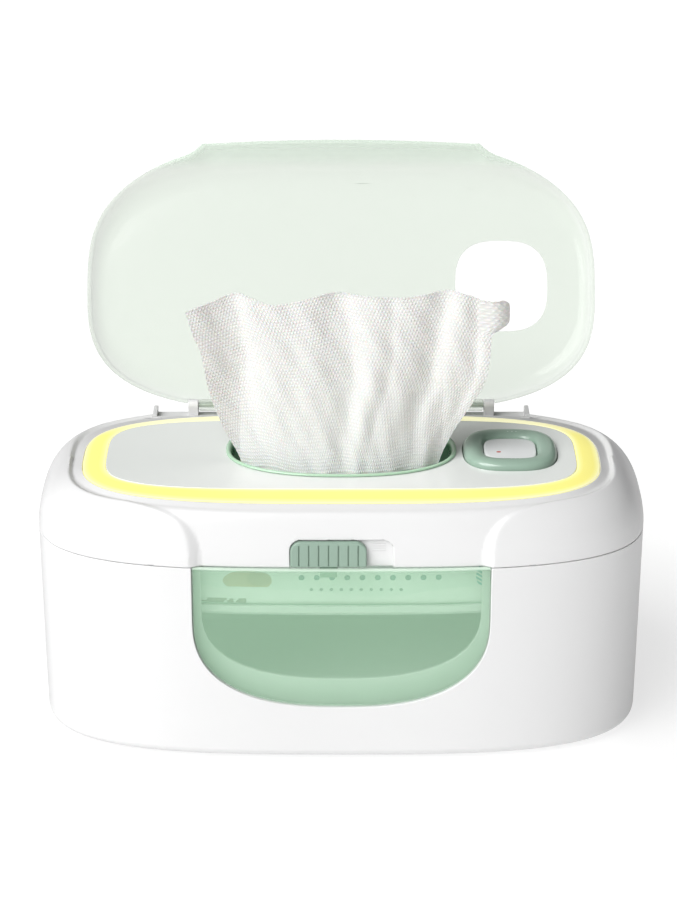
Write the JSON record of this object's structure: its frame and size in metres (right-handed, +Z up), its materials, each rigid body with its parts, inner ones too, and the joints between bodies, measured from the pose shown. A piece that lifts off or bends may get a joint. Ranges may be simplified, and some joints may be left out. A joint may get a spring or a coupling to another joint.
{
  "type": "baby wipe warmer",
  "caption": "Squat rounded-box wipe warmer with a glowing ring lid, a clear dust cover swung open behind a dispensed wipe, a slide latch and a front window on the sprung wipe tray",
  "frame": {"origin": "on the floor plane, under the middle of the body; the rest face is the underside of the base plate, held 1.2 mm up by the feet", "axes": "+X to the viewer's right along the long side, +Y to the back, +Z up; the window and latch face -Y"},
  "size_m": [0.26, 0.1768, 0.2244],
  "materials": {
    "white_plastic": "smooth moulded white, soft gloss",
    "panel_plastic": "glossy pale grey",
    "glow_plastic": "frosted diffuser lit yellow from below",
    "mint_clear": "clear green-tinted moulding",
    "cover_clear": "clear moulding with a faint green tint",
    "rim_green": "glossy green",
    "sage_plastic": "satin sage green",
    "steel": "plain steel",
    "aluminium": "rolled aluminium sheet",
    "rubber": "matte grey rubber",
    "silicone": "matte silicone",
    "board": "coated circuit board",
    "black_plastic": "matte black",
    "pack_film": "soft printed film",
    "cloth": "embossed white non-woven"
  },
  "bodies": {
    "base": {"lower_housing": "white_plastic", "window_pane": "mint_clear", "inner_tub": "white_plastic", "base_plate": "white_plastic", "latch_keeper": "steel", "foot_front_left": "rubber", "foot_front_right": "rubber", "foot_rear_right": "rubber", "foot_rear_left": "rubber", "base_screw_front_left": "steel", "base_screw_front_right": "steel", "base_screw_rear_right": "steel", "base_screw_rear_left": "steel", "tray_spring_left": "steel", "tray_spring_right": "steel", "lid_hinge_pin_left": "steel", "lid_hinge_pin_right": "steel"},
    "tray": {"lift_tray": "white_plastic", "wipes_pack": "pack_film"},
    "lid": {"upper_housing": "white_plastic", "light_ring": "glow_plastic", "top_panel": "panel_plastic", "dispensing_rim": "rim_green", "led_board": "board", "control_board": "board", "display_window": "panel_plastic", "switch_front": "black_plastic", "switch_rear": "black_plastic", "return_pad": "silicone", "lid_liner": "white_plastic", "seal_carrier": "white_plastic", "heater_mat": "silicone", "heater_plate": "aluminium", "thermostat": "black_plastic", "thermal_fuse": "black_plastic", "lid_seal": "silicone", "power_inlet": "black_plastic", "wipe_sheet": "cloth", "liner_screw_front_left": "steel", "liner_screw_front_right": "steel", "liner_screw_rear_right": "steel", "liner_screw_rear_left": "steel", "cover_hinge_pin_left": "steel", "cover_hinge_pin_right": "steel"},
    "latch": {"latch_slider": "sage_plastic"},
    "control": {"control_ring": "sage_plastic"},
    "cover": {"dust_cover": "cover_clear"}
  },
  "joints": [
    {"name": "lid_hinge", "type": "hinge", "parent": "base", "child": "lid", "pos_m": [0, 0.0634, 0.0906], "axis": [-1, 0, 0], "range_deg": [0, 80], "deforming": ["latch_keeper"]},
    {"name": "cover_hinge", "type": "hinge", "parent": "lid", "child": "cover", "pos_m": [0, 0.054, 0.1165], "axis": [1, 0, 0], "range_deg": [0, 120.7], "deforming": ["wipe_sheet"]},
    {"name": "tray_slide", "type": "slide", "parent": "base", "child": "tray", "axis": [0, 0, 1], "range_m": [-0.034, 0], "stiffness_N_per_m": 220, "springref_m": 0.05, "deforming": ["tray_spring_left", "tray_spring_right"]},
    {"name": "latch_slide", "type": "slide", "parent": "lid", "child": "latch", "axis": [1, 0, 0], "range_m": [0, 0.0107]},
    {"name": "control_press", "type": "slide", "parent": "lid", "child": "control", "axis": [0, 0, 1], "range_m": [-0.001, 0], "stiffness_N_per_m": 900, "springref_m": 0.002, "deforming": ["return_pad"]}
  ]
}
